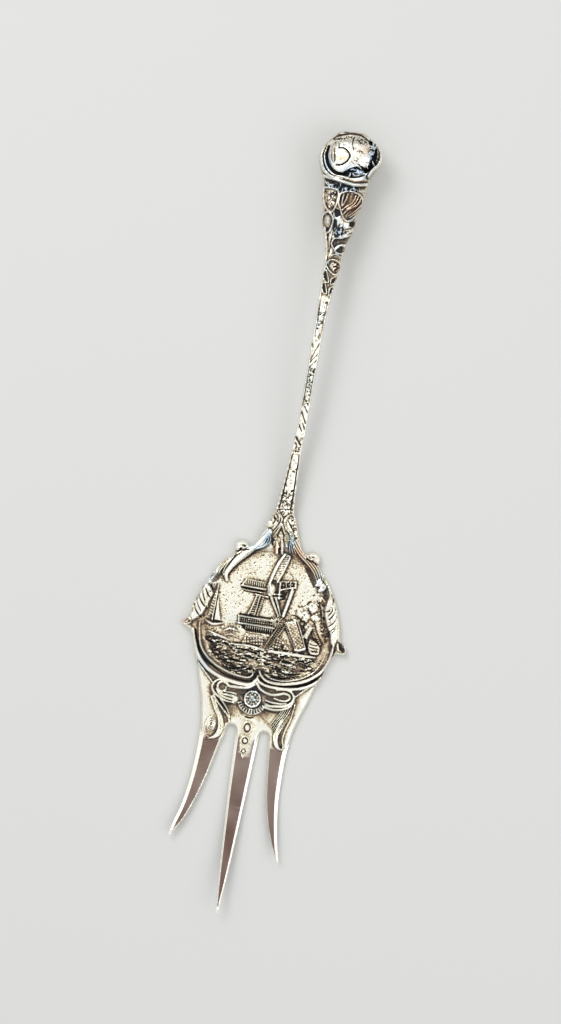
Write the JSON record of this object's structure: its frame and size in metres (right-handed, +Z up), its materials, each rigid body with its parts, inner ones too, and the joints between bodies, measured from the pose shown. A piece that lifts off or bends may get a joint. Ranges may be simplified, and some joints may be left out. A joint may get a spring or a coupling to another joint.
{
  "type": "cake fork",
  "caption": "Slim cast cake fork with a round relief plate, outward-curved tapering tines, a carved stem and a rose at its end.",
  "frame": {"origin": "under the middle of the fork's length and width, on the surface that it lies on", "axes": "+Y along the fork towards the rose, +X across it to the right of the relief, +Z up out of the relief"},
  "size_m": [0.0385, 0.1803, 0.0108],
  "materials": {
    "oxidised_silver": "cast silver, polished on the high places and dark with tarnish in the recesses"
  },
  "bodies": {
    "root": {"cake_fork": "oxidised_silver"}
  },
  "joints": []
}
